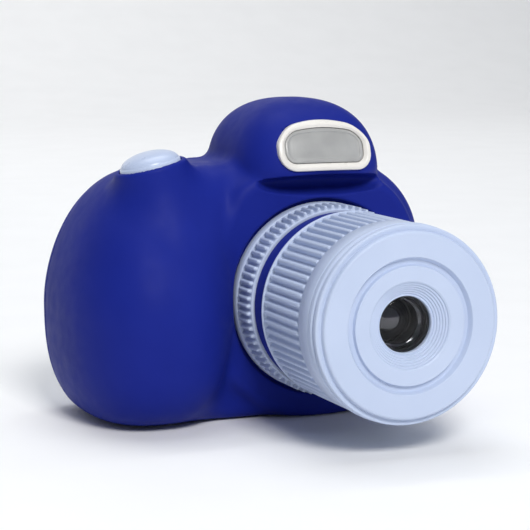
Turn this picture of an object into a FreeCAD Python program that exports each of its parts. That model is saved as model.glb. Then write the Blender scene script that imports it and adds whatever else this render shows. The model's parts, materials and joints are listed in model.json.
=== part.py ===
import FreeCAD, Part

import math
import os

# Kids digital camera in the shape of a small reflex camera.
# Millimetres. X is to the right seen from the front, the lens points to -Y,
# +Z is up, the base rests on z = 0 and the lens axis lies in the plane x = 0.

V = FreeCAD.Vector

# ---- driving dimensions -------------------------------------------------

LENS_Z = 29.5            # height of the lens axis
BACK_Y = 19.5            # flat back of the camera
PARTING_Y = 11.0         # plane where the two casing halves meet
WALL = 2.0               # casing wall
TRIM_STOCK = 0.35        # the loft runs this far past the base and the back before they are cut flat
OUTER_LOFT = (17, 36)    # sections along X, points round each section
INNER_LOFT = (12, 26)
HUMP_SECTIONS = 8
HUMP_POINTS = 24
SPINE = (1.0, 29.0)      # y, z of a line that runs inside every section

CORE_CENTRE = (-5.5, 6.5, 28.2)
CORE_HALF = (35.5, 23.0, 34.2)
CORE_CORNER = 21.0
CORE_EDGE = 8.0
GRIP_CENTRE = (-40.9, 0.5, 27.0)
GRIP_HALF = (20.0, 32.0)
GRIP_RISE = 33.2
GRIP_DROP = 30.0
GRIP_BLEND = 7.0
BACK_BLEND = 7.0
FLOOR_BLEND = 4.0
BODY_LEFT = -60.5
BODY_RIGHT = 29.7

HUMP_CENTRE = (-1.0, -2.5, 57.5)
HUMP_HALF = (18.5, 21.0)
HUMP_HEIGHT = 19.3

BOSS_RADIUS = 30.0       # raised plate round the lens
BOSS_FRONT = -19.6
BOSS_HALF_WIDTH = 19.5   # its upper part, below the hump
DISH_RADIUS = 23.8
DISH_FLOOR = -17.6

NECK_BORE = 17.5
NECK_RADIUS = 20.3
NECK_FRONT = -61.6
BAND_RADIUS = 21.3       # the casing-coloured band between the two rings
BAND_Y = (-28.45, -34.35)
RING_CLEARANCE = 0.08
ZOOM_RING_Y = (-17.9, -28.2)
ZOOM_RING_RADIUS = 22.9
FOCUS_RING_Y = (-34.65, -61.3)
FOCUS_RING_RADIUS = 22.2
FOCUS_RIB_Y = (-36.3, -55.4)
ZOOM_RIB_Y = (-21.0, -27.6)
ZOOM_RIB_COUNT = 78
FOCUS_RIB_COUNT = 66
RIB_HEIGHT = 0.95
RIM_RADIUS = 22.4
RIM_Y = (-61.6, -63.9)
FACE_RADIUS = 22.2
FACE_Y = (-64.0, -66.9)
SPIGOT_RADIUS = 20.5
GLASS_RADIUS = 6.8
LENS_SCREW_CIRCLE = 18.9
LENS_SCREW_COUNT = 3

FLASH_CENTRE = (-0.6, 66.0)
FLASH_HALF = (11.9, 6.0)
FLASH_CORNER = 5.5
FLASH_FRAME = 1.8
FLASH_PROUD = 0.9

SHUTTER_SEAT = (-40.4, -11.2, 60.9)
SHUTTER_AXIS = (-0.23, 0.02, 0.97)
SHUTTER_RADIUS = 7.3
DOME_BASE = 0.7
DOME_RISE = 3.2
CUP_FLOOR = (-5.5, -3.5)
STEM_RADIUS = 2.6
STEM_CLEARANCE = 0.06
SWITCH_POST_REACH = 6.0
BUTTON_GAP = 0.2

SCREEN_CENTRE = (-8.0, 30.0)
PANE_HALF = (24.0, 19.0)
VIEW_HALF = (21.0, 16.0)
DPAD_CENTRE = (-43.5, 26.5)
DPAD_REACH = 7.9
BUTTON_RADIUS = 2.7
OK_RADIUS = 3.3
BUTTON_FLANGE = 0.7
BUTTON_BACK_Y = 20.6

CASE_SCREWS = ((-50.0, 8.0), (-53.5, 37.5), (20.0, 12.5), (20.0, 47.5))
POST_RADIUS = 3.0
POST_START_Y = -3.0
BOARD_SCREWS = ((-30.0, 19.0), (-30.0, 39.0), (23.5, 18.4), (23.5, 39.6))
STANDOFF_START = (-20.0, -20.0, -15.0, -15.0)
STANDOFF_RADIUS = 2.3
MAIN_BOARD_Y = (5.0, 6.2)
MAIN_BOARD_HALF = (29.75, 13.0)
MAIN_BOARD_CENTRE = (-3.75, 29.0)
BUTTON_BOARD_Y = (11.9, 13.1)

FLAP_Y = (-1.2, 9.7)
FLAP_Z = (20.5, 39.5)
FLAP_INNER_X = 28.5
FLAP_THICK = 1.2
HINGE_X = 28.85
BARREL_RADIUS = 0.85
HINGE_PIN_RADIUS = 0.4
USB_CENTRE = (3.35, 28.5)      # y, z
CARD_CENTRE = (7.4, 29.0)      # y, z

TRIPOD_CENTRE = (-6.0, 2.0)    # x, y
TRIPOD_RADIUS = 3.175          # quarter inch thread
TRIPOD_DEPTH = 7.0
SPEAKER_CENTRE = (-1.0, 53.9)  # x, z
SPEAKER_Y = (12.0, 14.4)
SPEAKER_RADIUS = 4.8


# ---- smooth form of the casing ------------------------------------------

def smooth_min(a, b, blend):
    near = max(blend - abs(a - b), 0.0) / blend
    return min(a, b) - near * near * blend / 4.0


def smooth_max(a, b, blend):
    return -smooth_min(-a, -b, blend)


def rounded_rectangle(p, q, half_p, half_q, radius):
    dp = abs(p) - half_p + radius
    dq = abs(q) - half_q + radius
    return math.hypot(max(dp, 0.0), max(dq, 0.0)) + min(max(dp, dq), 0.0) - radius


def core_form(x, y, z):
    side = rounded_rectangle(
        x - CORE_CENTRE[0], z - CORE_CENTRE[2], CORE_HALF[0], CORE_HALF[2], CORE_CORNER)
    front = abs(y - CORE_CENTRE[1]) - CORE_HALF[1]
    a = side + CORE_EDGE
    b = front + CORE_EDGE
    return math.hypot(max(a, 0.0), max(b, 0.0)) + min(max(a, b), 0.0) - CORE_EDGE


def grip_form(x, y, z):
    dx = x - GRIP_CENTRE[0]
    dy = y - GRIP_CENTRE[1]
    dz = z - GRIP_CENTRE[2]
    plan_power = 2.5
    height = GRIP_RISE if dz > 0 else GRIP_DROP
    power = 1.9 if dz > 0 else 2.6
    plan = abs(dx / GRIP_HALF[0]) ** plan_power + abs(dy / GRIP_HALF[1]) ** plan_power
    reach = (plan ** (power / plan_power) + abs(dz / height) ** power) ** (1.0 / power)
    if reach < 0.01:
        return -GRIP_HALF[0]
    return math.sqrt(dx * dx + dy * dy + dz * dz) * (1.0 - 1.0 / reach)


def casing_form(x, y, z):
    """Distance-like value of the casing without its hump, negative inside."""
    form = smooth_min(core_form(x, y, z), grip_form(x, y, z), GRIP_BLEND)
    form = smooth_max(form, y - BACK_Y - TRIM_STOCK, BACK_BLEND)
    return smooth_max(form, -z - TRIM_STOCK, FLOOR_BLEND)


def casing_point(x, angle, inset):
    """Point of the casing, moved inwards by inset, on a ray from the spine in the plane of x."""
    inner = 0.0
    outer = 70.0
    for _ in range(34):
        reach = (inner + outer) / 2.0
        y = SPINE[0] + reach * math.cos(angle)
        z = SPINE[1] + reach * math.sin(angle)
        if casing_form(x, y, z) + inset < 0:
            inner = reach
        else:
            outer = reach
    return V(x, SPINE[0] + inner * math.cos(angle), SPINE[1] + inner * math.sin(angle))


def closed_curve(points):
    curve = Part.BSplineCurve()
    curve.interpolate(Points=points, PeriodicFlag=True)
    return Part.Wire([curve.toShape()])


def casing_solid(inset, loft):
    sections, points = loft
    left = BODY_LEFT + inset
    right = BODY_RIGHT - inset
    turn = 2.0 * math.pi / points
    wires = []
    for i in range(sections):
        share = 0.5 - 0.5 * math.cos(math.pi * i / (sections - 1))
        x = left + (right - left) * share
        wires.append(closed_curve([casing_point(x, k * turn, inset) for k in range(points)]))
    return Part.makeLoft(wires, True, False)


def hump_section(scale, z, grow):
    power = 3.4
    points = []
    for k in range(HUMP_POINTS):
        turn = 2.0 * math.pi * (k + 0.5) / HUMP_POINTS
        c = math.cos(turn)
        s = math.sin(turn)
        across = math.copysign(abs(c) ** (2.0 / power), c) * (HUMP_HALF[0] + grow) * scale
        along = math.copysign(abs(s) ** (2.0 / power), s) * (HUMP_HALF[1] + grow) * scale
        points.append(V(HUMP_CENTRE[0] + across, HUMP_CENTRE[1] + along, z))
    return closed_curve(points)


def hump_solid(grow, base_z):
    """Rounded housing over the lens, grown by grow, from base_z up."""
    power = 2.4
    height = HUMP_HEIGHT + grow
    start = max((base_z - HUMP_CENTRE[2]) / height, 0.0)
    wires = []
    for i in range(HUMP_SECTIONS):
        rise = start + (0.993 - start) * math.sin(math.pi / 2.0 * i / (HUMP_SECTIONS - 1))
        scale = (1.0 - rise ** power) ** (1.0 / power)
        wires.append(hump_section(scale, HUMP_CENTRE[2] + rise * height, grow))
    return Part.makeLoft(wires, True, False)


# ---- plain building blocks ----------------------------------------------

def box(x0, x1, y0, y1, z0, z1):
    return Part.makeBox(x1 - x0, y1 - y0, z1 - z0, V(x0, y0, z0))


def rod(x, z, radius, y0, y1):
    """Round bar along Y."""
    return Part.makeCylinder(radius, y1 - y0, V(x, y0, z), V(0, 1, 0))


def tube(x, z, radius, bore, y0, y1):
    return rod(x, z, radius, y0, y1).cut(rod(x, z, bore, y0 - 1, y1 + 1))


def turned(profile, x, z):
    """Solid of revolution about a line along Y; the profile is a list of (radius, y)."""
    points = [V(x + r, y, z) for r, y in profile]
    face = Part.Face(Part.makePolygon(points + [points[0]]))
    return face.revolve(V(x, 0, z), V(0, 1, 0), 360)


def rounded_prism(x, z, half_w, half_h, radius, y0, y1):
    block = box(x - half_w, x + half_w, y0, y1, z - half_h, z + half_h)
    edges = [e for e in block.Edges if abs(e.BoundBox.YLength - (y1 - y0)) < 1e-6]
    return block.makeFillet(radius, edges)


def joined(shapes):
    result = shapes[0]
    for shape in shapes[1:]:
        result = result.fuse(shape)
    return result.removeSplitter()


def ribbed_sleeve(count, root, tip, y0, y1):
    """Bar along the lens axis whose surface carries straight ribs."""
    pitch = 2.0 * math.pi / count
    points = []
    for i in range(count):
        for radius, share in ((root, -0.30), (tip, -0.20), (tip, 0.20), (root, 0.30)):
            angle = (i + share) * pitch
            points.append(V(radius * math.cos(angle), y0, LENS_Z + radius * math.sin(angle)))
    face = Part.Face(Part.makePolygon(points + [points[0]]))
    return face.extrude(V(0, y1 - y0, 0))


def bent_tube(points, radius):
    """Round wire along straight runs joined by tangent arcs."""
    edges = []
    start = V(*points[0])
    for i in range(1, len(points) - 1):
        corner = V(*points[i])
        back = V(*points[i - 1]).sub(corner)
        ahead = V(*points[i + 1]).sub(corner)
        cut = 0.45 * min(back.Length, ahead.Length)
        back.normalize()
        ahead.normalize()
        first = corner + back * cut
        last = corner + ahead * cut
        half = back.getAngle(ahead) / 2.0
        bend = cut * math.tan(half)
        middle = back + ahead
        middle.normalize()
        crown = corner + middle * (bend / math.sin(half) - bend)
        edges.append(Part.LineSegment(start, first).toShape())
        edges.append(Part.Arc(first, crown, last).toShape())
        start = last
    edges.append(Part.LineSegment(start, V(*points[-1])).toShape())
    path = Part.Wire(edges)
    direction = V(*points[1]).sub(V(*points[0]))
    profile = Part.Wire([Part.makeCircle(radius, V(*points[0]), direction)])
    return path.makePipeShell([profile], True, False)


def seated(shape):
    """Moves a shape from the shutter button's own frame, where +Z is the press axis."""
    axis = V(*SHUTTER_AXIS)
    shape.Placement = FreeCAD.Placement(V(*SHUTTER_SEAT), FreeCAD.Rotation(V(0, 0, 1), axis))
    return shape


def turned_z(profile):
    """Solid of revolution about Z; the profile is a list of (radius, height)."""
    points = [V(r, 0, h) for r, h in profile]
    face = Part.Face(Part.makePolygon(points + [points[0]]))
    return face.revolve(V(0, 0, 0), V(0, 0, 1), 360)


# ---- casing -------------------------------------------------------------

def lens_boss():
    disc = rod(0, LENS_Z, BOSS_RADIUS, BOSS_FRONT, -12)
    stem = box(-BOSS_HALF_WIDTH, BOSS_HALF_WIDTH, BOSS_FRONT, -12, 40, 59)
    inset = 3.5
    outline = rounded_prism(
        CORE_CENTRE[0], CORE_CENTRE[2], CORE_HALF[0] - inset, CORE_HALF[2] - inset,
        CORE_CORNER - inset, BOSS_FRONT - 1, -11)
    return joined([disc, stem]).common(outline)


def shutter_cup():
    """Collar round the button, with a floor that guides its stem and carries the switch board."""
    well = SHUTTER_RADIUS + BUTTON_GAP
    guide = STEM_RADIUS + STEM_CLEARANCE
    foot = well + 2.0
    outside = [(well + 0.8, 0.8), (well + 1.4, 0.2), (foot, -5.0), (foot, -10.0)]
    inside = [(well, -10.0), (well, CUP_FLOOR[0]), (guide, CUP_FLOOR[0])]
    cup = turned_z([(guide, CUP_FLOOR[1]), (well, CUP_FLOOR[1]), (well, 0.8)] + outside + inside)
    posts = [Part.makeCylinder(1.7, 7.7, V(side * SWITCH_POST_REACH, 0, -13.05)) for side in (-1, 1)]
    return seated(cup.fuse(posts))


def trimmed(solid, back_y, floor_z):
    return solid.common(box(-80, 60, -60, back_y, floor_z, 90))


def casing_outer():
    shape = casing_solid(0.0, OUTER_LOFT).fuse(hump_solid(0.0, HUMP_CENTRE[2])).fuse(lens_boss())
    return trimmed(shape, BACK_Y, 0.0)


def casing_inner():
    shape = casing_solid(WALL, INNER_LOFT).fuse(hump_solid(-WALL, HUMP_CENTRE[2] + WALL))
    return trimmed(shape, BACK_Y - WALL, WALL)


def shutter_well(radius, low, high):
    return seated(Part.makeCylinder(radius, high - low, V(0, 0, low)))


def port_openings():
    usb = rounded_port(USB_CENTRE, 1.75, 4.65, 1.7, 25.0, 31.0)
    card_y, card_z = CARD_CENTRE
    card = box(25.0, 31.0, card_y - 0.65, card_y + 0.65, card_z - 6.0, card_z + 6.0)
    return [usb, card]


def rounded_port(centre, half_y, half_z, radius, x0, x1):
    y, z = centre
    block = box(x0, x1, y - half_y, y + half_y, z - half_z, z + half_z)
    edges = [e for e in block.Edges if abs(e.BoundBox.XLength - (x1 - x0)) < 1e-6]
    return block.makeFillet(radius, edges)


def flap_pocket():
    gap = 0.25
    plate = box(FLAP_INNER_X - 0.2, 32, FLAP_Y[0], FLAP_Y[1] + gap, FLAP_Z[0] - gap, FLAP_Z[1] + gap)
    mouth = box(HINGE_X, 32, FLAP_Y[0] - 1.6, FLAP_Y[0] + 0.5, FLAP_Z[0] - gap, FLAP_Z[1] + gap)
    barrel = Part.makeCylinder(
        BARREL_RADIUS + gap, FLAP_Z[1] - FLAP_Z[0] + 2 * gap, V(HINGE_X, FLAP_Y[0], FLAP_Z[0] - gap))
    pin = Part.makeCylinder(
        HINGE_PIN_RADIUS + 0.03, 22.0, V(HINGE_X, FLAP_Y[0], FLAP_Z[0] - 1.5))
    return [plate, mouth, barrel, pin]


def front_supports():
    """Screw posts, board standoffs, battery ribs and thick spots inside the front casing."""
    rib_end = PARTING_Y - 0.5
    parts = [rod(x, z, POST_RADIUS, POST_START_Y, PARTING_Y) for x, z in CASE_SCREWS]
    parts.append(box(-50.8, -49.2, POST_START_Y, rib_end, 1.2, 6.0))
    parts.append(box(-58.0, -55.5, POST_START_Y, rib_end, 36.7, 38.3))
    parts.append(box(22.0, 25.5, POST_START_Y, rib_end, 11.7, 13.3))
    parts.append(box(22.0, 26.0, POST_START_Y, rib_end, 46.7, 48.3))
    for (x, z), start in zip(BOARD_SCREWS, STANDOFF_START):
        parts.append(rod(x, z, STANDOFF_RADIUS, start, MAIN_BOARD_Y[0]))
    parts += [box(x, x + 1.5, -12.0, -4.0, 1.5, 10.9) for x in (-50.0, -39.5)]
    parts.append(box(26.2, 28.6, -4.0, PARTING_Y, 20.0, 40.5))
    parts.append(Part.makeCylinder(6.5, 8.0, V(TRIPOD_CENTRE[0], TRIPOD_CENTRE[1], 0.4)))
    parts += [box(x, x + 6.8, -11.4, -10.2, 62.0, 66.0) for x in (-16.8, 8.0)]
    return parts


def front_shell(hollow):
    half = hollow.common(box(-80, 60, -60, PARTING_Y, -1, 90))
    shell = half.fuse(front_supports() + [shutter_cup()])
    cuts = [rod(0, LENS_Z, DISH_RADIUS, -40, DISH_FLOOR), rod(0, LENS_Z, NECK_BORE, -40, -8)]
    cuts.append(rounded_prism(FLASH_CENTRE[0], FLASH_CENTRE[1], FLASH_HALF[0] + 0.05, FLASH_HALF[1] + 0.05,
                              FLASH_CORNER, -40, -12.5))
    cuts += [rod(x, z, 1.1, -20, -10) for x, z in lens_screw_places()]
    cuts += [rod(x, z, 2.1, -14.4, -9.0) for x, z in lens_screw_places()]
    cuts += [rod(x, z, 1.05, 0, PARTING_Y + 1) for x, z in CASE_SCREWS]
    cuts += [rod(x, z, 0.95, -3, 6) for x, z in BOARD_SCREWS]
    cuts.append(shutter_well(SHUTTER_RADIUS + BUTTON_GAP, CUP_FLOOR[1], 12.0))
    cuts.append(shutter_well(STEM_RADIUS + STEM_CLEARANCE, -13.0, 0.0))
    cuts.append(shutter_well(4.2, -12.0, CUP_FLOOR[0]))
    cuts += flap_pocket() + port_openings()
    cuts.append(Part.makeCylinder(4.6, 9.0, V(TRIPOD_CENTRE[0], TRIPOD_CENTRE[1], -0.5)))
    return biggest(shell.cut(cuts))


def rear_shell(hollow):
    half = hollow.common(box(-80, 60, PARTING_Y, 40, -1, 90))
    bosses = [rod(x, z, POST_RADIUS, PARTING_Y, BACK_Y - 1.2) for x, z in CASE_SCREWS]
    x, z = SPEAKER_CENTRE
    bosses.append(tube(x, z, SPEAKER_RADIUS + 1.0, SPEAKER_RADIUS + 0.1, SPEAKER_Y[0] + 0.6, 17.7))
    shell = half.fuse(bosses)
    x, z = SCREEN_CENTRE
    cuts = [rounded_prism(x, z, PANE_HALF[0] + 0.1, PANE_HALF[1] + 0.1, 3.0, BACK_Y - 1.2, 25)]
    cuts.append(rounded_prism(x, z, VIEW_HALF[0], VIEW_HALF[1], 1.0, 10, 25))
    cuts += [rod(bx, bz, r + BUTTON_GAP, 10, 25) for _, bx, bz, r in rear_buttons()]
    cuts += [rod(bx, bz, r + BUTTON_FLANGE + 0.25, 12, 17.45) for _, bx, bz, r in rear_buttons()]
    cuts += [rod(bx, bz, 1.15, 10, 25) for bx, bz in CASE_SCREWS]
    cuts += [rod(bx, bz, 2.2, 16.2, 25) for bx, bz in CASE_SCREWS]
    cuts += [rod(hx, hz, 0.55, 16, 25) for hx, hz in speaker_holes()]
    return biggest(shell.cut(cuts))


def speaker_holes():
    places = [SPEAKER_CENTRE]
    for ring, count in ((2.0, 6), (4.0, 12)):
        for k in range(count):
            turn = 2.0 * math.pi * k / count
            x = SPEAKER_CENTRE[0] + ring * math.cos(turn)
            z = SPEAKER_CENTRE[1] + ring * math.sin(turn)
            places.append((x, z))
    return places


def biggest(shape):
    """The largest solid, without the crumbs that trimming leaves."""
    return max(shape.Solids, key=lambda solid: solid.Volume)


# ---- lens ---------------------------------------------------------------

def lens_screw_places():
    places = []
    for k in range(LENS_SCREW_COUNT):
        turn = math.radians(90 + 360.0 / LENS_SCREW_COUNT * k)
        x = LENS_SCREW_CIRCLE * math.cos(turn)
        z = LENS_Z + LENS_SCREW_CIRCLE * math.sin(turn)
        places.append((x, z))
    return places


def lens_neck():
    neck = tube(0, LENS_Z, NECK_RADIUS, NECK_BORE, NECK_FRONT, DISH_FLOOR)
    band = tube(0, LENS_Z, BAND_RADIUS, NECK_BORE, BAND_Y[1], BAND_Y[0])
    holes = [rod(x, z, 0.85, -28, -17) for x, z in lens_screw_places()]
    return joined([neck, band]).cut(holes)


def ribbed_ring(count, radius, ends, ribs):
    sleeve = rod(0, LENS_Z, radius - RIB_HEIGHT, ends[1], ends[0])
    rear_lip = rod(0, LENS_Z, radius, ribs[0] + 0.3, ends[0])
    front_lip = rod(0, LENS_Z, radius, ends[1], ribs[1] - 0.3)
    teeth = ribbed_sleeve(count, radius - RIB_HEIGHT, radius, ribs[1], ribs[0])
    bore = rod(0, LENS_Z, NECK_RADIUS + RING_CLEARANCE, ends[1] - 1, ends[0] + 1)
    return sleeve.fuse([rear_lip, front_lip, teeth]).cut(bore)


def zoom_ring():
    return ribbed_ring(ZOOM_RIB_COUNT, ZOOM_RING_RADIUS, ZOOM_RING_Y, ZOOM_RIB_Y)


def focus_ring():
    return ribbed_ring(FOCUS_RIB_COUNT, FOCUS_RING_RADIUS, FOCUS_RING_Y, FOCUS_RIB_Y)


def front_rim():
    """Bead at the end of the barrel, with a seat for the face's spigot."""
    rear, front = RIM_Y
    seat = SPIGOT_RADIUS + 0.1
    bead = [(RIM_RADIUS, rear), (RIM_RADIUS, front + 0.5), (RIM_RADIUS - 0.5, front)]
    inside = [(seat, front), (seat, rear - 1.4), (NECK_BORE, rear - 1.4), (NECK_BORE, rear)]
    return turned(bead + inside, 0, LENS_Z)


def front_plate():
    """Face with a rounded edge, a shallow groove, an inner band and a stepped cone to the glass."""
    back = RIM_Y[0] - 1.5
    seam, front = FACE_Y
    steps = []
    step_count = 5
    for k in range(step_count):
        radius = 9.7 - k * 0.6
        depth = -66.3 + k * 0.45
        steps.append((radius, depth))
        steps.append((radius - 0.2, depth + 0.45))
    hole = GLASS_RADIUS - 0.5
    spigot = [(hole, back), (SPIGOT_RADIUS, back), (SPIGOT_RADIUS, seam), (FACE_RADIUS, seam)]
    step = [(FACE_RADIUS, front + 1.6), (FACE_RADIUS - 0.6, front + 1.2), (20.9, front + 1.1)]
    groove = [(15.4, front), (13.9, front + 1.15), (13.3, front + 1.15), (13.1, front + 0.35)]
    profile = spigot + step + [(20.7, front)] + groove + [(10.0, front + 0.4)] + steps + [(hole, -64.1)]
    plate = turned(profile, 0, LENS_Z)
    return plate.cut(rod(0, LENS_Z, GLASS_RADIUS + 0.05, -63.9, -60))


def lens_glass():
    disc = rod(0, LENS_Z, GLASS_RADIUS, -63.85, -62.8)
    ball_radius = 20.0
    ball = Part.makeSphere(ball_radius, V(0, -64.9 + ball_radius, LENS_Z))
    dome = ball.common(rod(0, LENS_Z, GLASS_RADIUS - 0.6, -65.2, -63.7))
    return joined([disc, dome])


def lens_holder():
    plate = rod(0, LENS_Z, NECK_BORE - 0.1, -62.7, -60.7)
    socket = rod(0, LENS_Z, 8.0, -61, -54.5)
    return joined([plate, socket]).cut(rod(0, LENS_Z, 5.6, -70, -50))


def camera_module():
    turret = turned([(0, -61.9), (4.2, -61.9), (5.5, -61.0), (5.5, -54.4), (0, -54.4)], 0, LENS_Z)
    base = rounded_prism(0, LENS_Z, 6.5, 6.5, 1.0, -54.4, -51.0)
    return joined([turret, base])


def sensor_board():
    return rounded_prism(0, LENS_Z, 9.0, 9.0, 1.0, -51.0, -50.0)


def camera_flex():
    drop = 6.5
    return box(-4.0, 4.0, -49.9, MAIN_BOARD_Y[0] - 1.25, LENS_Z - drop - 0.15, LENS_Z - drop)


def lens_screws():
    screws = []
    for x, z in lens_screw_places():
        screws.append(joined([rod(x, z, 0.8, -27, -14.2), rod(x, z, 1.8, -14.3, -13.1)]))
    return Part.makeCompound(screws)


# ---- flash --------------------------------------------------------------

def flash_slice(grow, depth, inset):
    """Part of the hump's skin behind the flash window."""
    prism = rounded_prism(FLASH_CENTRE[0], FLASH_CENTRE[1], FLASH_HALF[0] - inset, FLASH_HALF[1] - inset,
                          FLASH_CORNER - inset, -40, -13.0)
    skin = hump_solid(grow, HUMP_CENTRE[2]).cut(hump_solid(grow - depth, HUMP_CENTRE[2] - 3.0))
    return biggest(prism.common(skin))


def flash_bezel():
    frame = flash_slice(FLASH_PROUD, 2.9, 0.0)
    window = rounded_prism(FLASH_CENTRE[0], FLASH_CENTRE[1], FLASH_HALF[0] - FLASH_FRAME,
                           FLASH_HALF[1] - FLASH_FRAME, FLASH_CORNER - FLASH_FRAME, -41, -10)
    return frame.cut(window)


def flash_diffuser():
    return flash_slice(0.3, 1.6, FLASH_FRAME + 0.05)


def flash_board():
    return box(-11.3, 10.1, -12.6, -11.5, 61.5, 69.5)


def flash_led():
    body = box(-3.1, 1.9, -14.2, -12.65, 63.5, 68.5)
    dome = turned([(0, -14.9), (1.4, -14.6), (1.9, -14.1), (0, -14.1)], -0.6, 66.0)
    return joined([body, dome])


# ---- shutter button -----------------------------------------------------

def shutter_button():
    """Domed cap with a short skirt and a stem, whose clip ring holds it under the cup floor."""
    cap = []
    arc_count = 8
    for k in range(arc_count + 1):
        turn = math.pi / 2.0 * k / arc_count
        cap.append((SHUTTER_RADIUS * math.sin(turn), DOME_BASE + DOME_RISE * math.cos(turn)))
    hollow = SHUTTER_RADIUS - 1.4
    skirt = [(SHUTTER_RADIUS, -1.9), (hollow, -1.9), (hollow, -0.4), (STEM_RADIUS, -0.4)]
    clip = [(STEM_RADIUS, -5.7), (STEM_RADIUS + 0.7, -5.8), (STEM_RADIUS, -6.6)]
    return seated(turned_z(cap + skirt + clip + [(STEM_RADIUS - 0.6, -8.0), (0, -8.0)]))


def shutter_switch():
    body = box(-3, 3, -3, 3, -13.05, -9.9)
    plunger = Part.makeCylinder(1.5, 0.6, V(0, 0, -9.9))
    return seated(joined([body, plunger]))


def shutter_board():
    return seated(box(-9.0, 9.0, -4.5, 4.5, -14.1, -13.05))


# ---- back: screen and buttons -------------------------------------------

def rear_buttons():
    """Place and radius of each key; left and right are as the user sees them from behind."""
    x, z = DPAD_CENTRE
    return [
        ("up_button", x, z + DPAD_REACH, BUTTON_RADIUS),
        ("down_button", x, z - DPAD_REACH, BUTTON_RADIUS),
        ("left_button", x + DPAD_REACH, z, BUTTON_RADIUS),
        ("right_button", x - DPAD_REACH, z, BUTTON_RADIUS),
        ("ok_button", x, z, OK_RADIUS),
        ("mode_button", x - 4.6, z + 17.7, BUTTON_RADIUS),
        ("play_button", x + 4.6, z + 17.7, BUTTON_RADIUS),
        ("power_button", x, z - 17.0, BUTTON_RADIUS),
    ]


def rear_button(x, z, radius):
    flange = radius + BUTTON_FLANGE
    return turned([(0, 16.0), (flange, 16.0), (flange, 17.2), (radius, 17.2), (radius, BUTTON_BACK_Y - 0.5),
                   (radius - 0.5, BUTTON_BACK_Y - 0.1), (0, BUTTON_BACK_Y)], x, z)


def rear_switches():
    switches = []
    for _, x, z, _ in rear_buttons():
        body = box(x - 2, x + 2, BUTTON_BOARD_Y[1], BUTTON_BOARD_Y[1] + 1.5, z - 2, z + 2)
        plunger = rod(x, z, 0.9, BUTTON_BOARD_Y[1] + 1.4, BUTTON_BOARD_Y[1] + 2.0)
        switches.append(joined([body, plunger]))
    return Part.makeCompound(switches)


def button_board():
    board = rounded_prism(-44.0, 27.15, 10.6, 20.15, 6.0, BUTTON_BOARD_Y[0], BUTTON_BOARD_Y[1])
    return board.cut([rod(x, z, POST_RADIUS + 0.5, 10, 15) for x, z in CASE_SCREWS])


def screen_window():
    x, z = SCREEN_CENTRE
    return rounded_prism(x, z, PANE_HALF[0], PANE_HALF[1], 3.0, BACK_Y - 1.2, BACK_Y - 0.1)


def lcd_panel():
    x, z = SCREEN_CENTRE
    return box(x - 22.5, x + 22.5, 15.0, BACK_Y - WALL - 0.1, z - 17.5, z + 17.5)


def lcd_flex():
    return box(-12.0, -2.0, 7.7, 14.95, 18.0, 18.15)


# ---- boards, power and sound --------------------------------------------

def main_board():
    x, z = MAIN_BOARD_CENTRE
    half_w, half_h = MAIN_BOARD_HALF
    board = rounded_prism(x, z, half_w, half_h, 1.5, MAIN_BOARD_Y[0], MAIN_BOARD_Y[1])
    return board.cut([rod(bx, bz, 1.0, 0, 10) for bx, bz in BOARD_SCREWS])


def board_chips():
    front = MAIN_BOARD_Y[0]
    rear = MAIN_BOARD_Y[1]
    return Part.makeCompound([
        box(-14, -4, rear, rear + 1.2, 24, 34),
        box(0, 8, rear, rear + 1.0, 25, 31),
        box(-13, -1, rear, rear + 1.5, 17.4, 20.4),
        box(-5, 5, front - 1.2, front, 21.5, 24.5),
        box(-28, -22, front - 3.0, front, 31, 36),
        box(-24, -19, rear, rear + 3.0, 31, 36),
    ])


def microphone():
    return rod(10.5, 36.5, 2.0, MAIN_BOARD_Y[0] - 1.6, MAIN_BOARD_Y[0])


def board_screws():
    rear = MAIN_BOARD_Y[1]
    screws = []
    for x, z in BOARD_SCREWS:
        screws.append(joined([rod(x, z, 0.9, -2, rear + 0.1), rod(x, z, 1.6, rear + 0.02, rear + 1.2)]))
    return Part.makeCompound(screws)


def case_screws():
    return Part.makeCompound(
        [joined([rod(x, z, 1.0, 1, 16.4), rod(x, z, 1.9, 16.25, 17.8)]) for x, z in CASE_SCREWS])


def usb_port():
    y, z = USB_CENTRE
    body = rounded_port(USB_CENTRE, 1.6, 4.5, 1.55, 20.5, 28.0)
    cavity = rounded_port(USB_CENTRE, 1.3, 4.2, 1.25, 22.0, 29.0)
    tongue = box(21.5, 27.0, y - 0.35, y + 0.35, z - 3.3, z + 3.3)
    return joined([body.cut(cavity), tongue])


def card_socket():
    y, z = CARD_CENTRE
    body = box(11.5, 26.0, MAIN_BOARD_Y[1], MAIN_BOARD_Y[1] + 2.2, z - 7.5, z + 7.5)
    return body.cut(box(12.9, 27.0, y - 0.55, y + 0.55, z - 5.6, z + 5.6))


def memory_card():
    y, z = CARD_CENTRE
    return box(13.0, 28.0, y - 0.5, y + 0.5, z - 5.5, z + 5.5)


def battery():
    cell = box(-54.5, -33.5, -13.0, -6.0, 11.0, 42.0)
    return cell.makeFillet(1.5, [e for e in cell.Edges if e.BoundBox.ZLength > 20])


def battery_pad():
    return box(-53.0, -35.0, -15.0, -13.05, 13.0, 40.0)


def battery_leads():
    leads = []
    for k, end_z in enumerate((33.0, 34.6)):
        start_x = -38.5 + 1.6 * k
        end_x = -25.5 + k
        crossing_z = 45.7
        route = [(start_x, -9.5, 42.02), (start_x, -9.5, crossing_z), (end_x, -9.0, crossing_z)]
        leads.append(bent_tube(route + [(end_x, -5.0, end_z), (end_x, 1.95, end_z)], 0.5))
    return Part.makeCompound(leads)


def speaker():
    x, z = SPEAKER_CENTRE
    rear, front = SPEAKER_Y
    return turned([(0, rear), (3.2, rear), (3.2, rear + 0.8), (SPEAKER_RADIUS, rear + 1.0),
                   (SPEAKER_RADIUS, front), (0, front)], x, z)


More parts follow.
